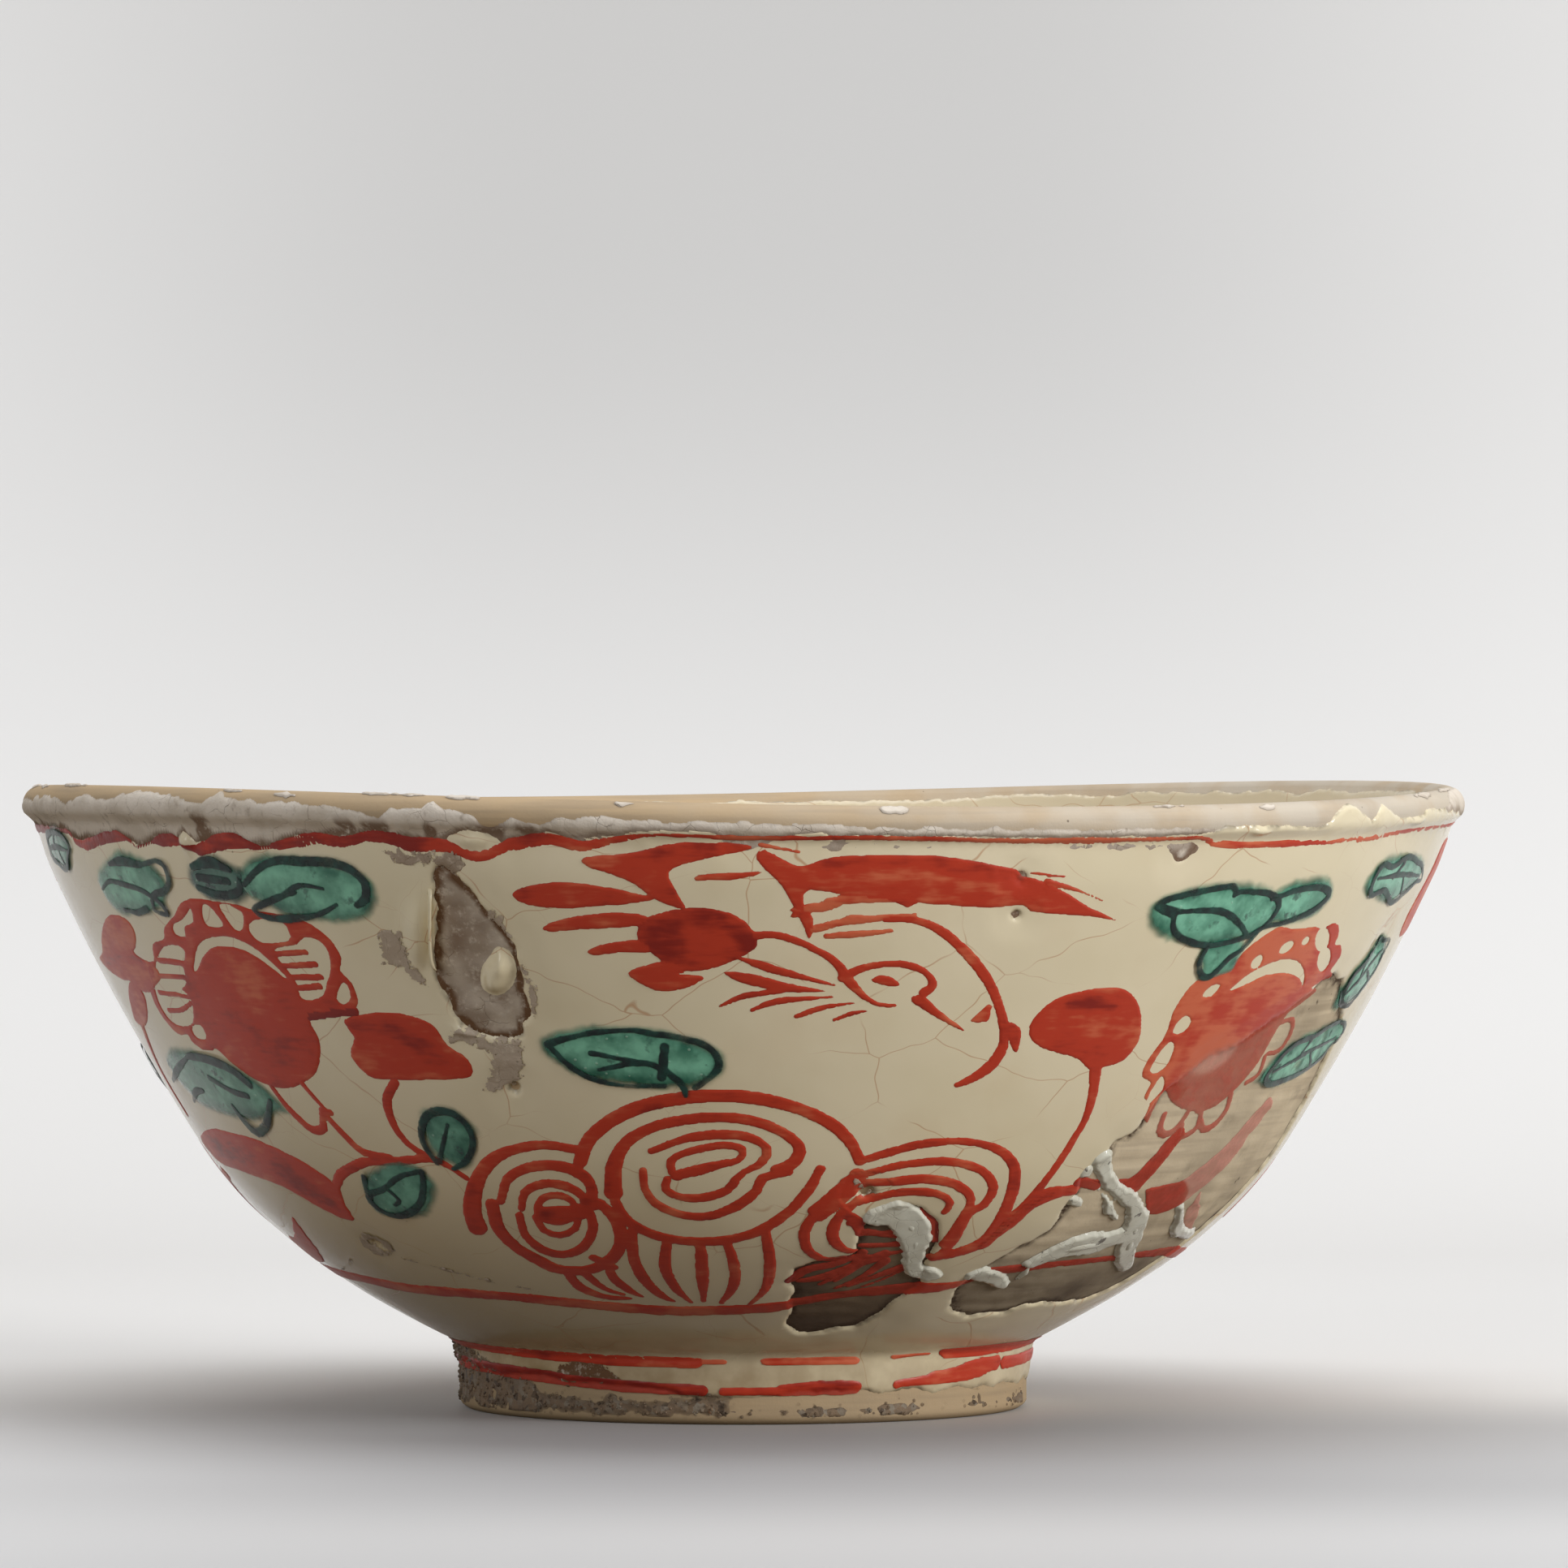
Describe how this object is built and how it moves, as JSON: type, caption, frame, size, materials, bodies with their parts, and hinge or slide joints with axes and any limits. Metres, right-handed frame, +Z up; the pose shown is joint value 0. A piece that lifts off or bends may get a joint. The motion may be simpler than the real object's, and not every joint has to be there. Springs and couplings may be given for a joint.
{
  "type": "footed bowl",
  "caption": "Thrown footed bowl with a flared wall and rounded, slightly warped lip, under peeling cream glaze and raised red and green enamel decoration.",
  "frame": {"origin": "on the table plane under the middle of the bowl", "axes": "+Z up the bowl's axis, -Y towards the painted front"},
  "size_m": [0.16, 0.16, 0.0695],
  "materials": {
    "clay": "matt bare stoneware clay",
    "slip": "matt chalky",
    "glaze": "glossy, finely crackled",
    "glaze_bead": "glossy",
    "red_enamel": "semi-gloss",
    "green_enamel": "glassy",
    "kiln_grit": "rough sand"
  },
  "bodies": {
    "root": {"clay_body": "clay", "slip_band": "slip", "outside_glaze": "glaze", "inside_glaze": "glaze", "base_glaze": "glaze", "leaf_under_bird": "green_enamel", "leaf_left_edge": "green_enamel", "leaf_left_over_flower": "green_enamel", "leaf_left_dark": "green_enamel", "leaf_left_by_scar": "green_enamel", "leaf_left_under_flower": "green_enamel", "leaf_left_small": "green_enamel", "leaf_left_low": "green_enamel", "leaf_right_over_bud": "green_enamel", "leaf_right_twin": "green_enamel", "leaf_right_small": "green_enamel", "leaf_right_edge": "green_enamel", "leaf_back_right_over": "green_enamel", "leaf_back_right_under": "green_enamel", "leaf_back_right_side": "green_enamel", "leaf_back_left_over": "green_enamel", "leaf_back_left_under": "green_enamel", "leaf_back_left_side": "green_enamel", "leaf_on_clay": "green_enamel", "bird_front": "red_enamel", "bird_back_right": "red_enamel", "bird_back_left": "red_enamel", "scroll_rock_front": "red_enamel", "scroll_rock_back_right": "red_enamel", "scroll_rock_back_left": "red_enamel", "flower_left": "red_enamel", "flower_right": "red_enamel", "flower_back": "red_enamel", "bud_left": "red_enamel", "bud_right": "red_enamel", "bud_far_left": "red_enamel", "bud_back": "red_enamel", "red_leaf_left": "red_enamel", "red_leaf_back": "red_enamel", "glaze_roll_low": "glaze_bead", "glaze_roll_branch": "glaze_bead", "glaze_roll_side": "glaze_bead", "glaze_roll_edge": "glaze_bead", "glaze_roll_tail": "glaze_bead", "glaze_bead_in_scar": "glaze_bead", "lifted_flake": "glaze_bead", "foot_grit_left": "kiln_grit", "foot_grit_front": "kiln_grit", "foot_grit_right": "kiln_grit"}
  },
  "joints": []
}
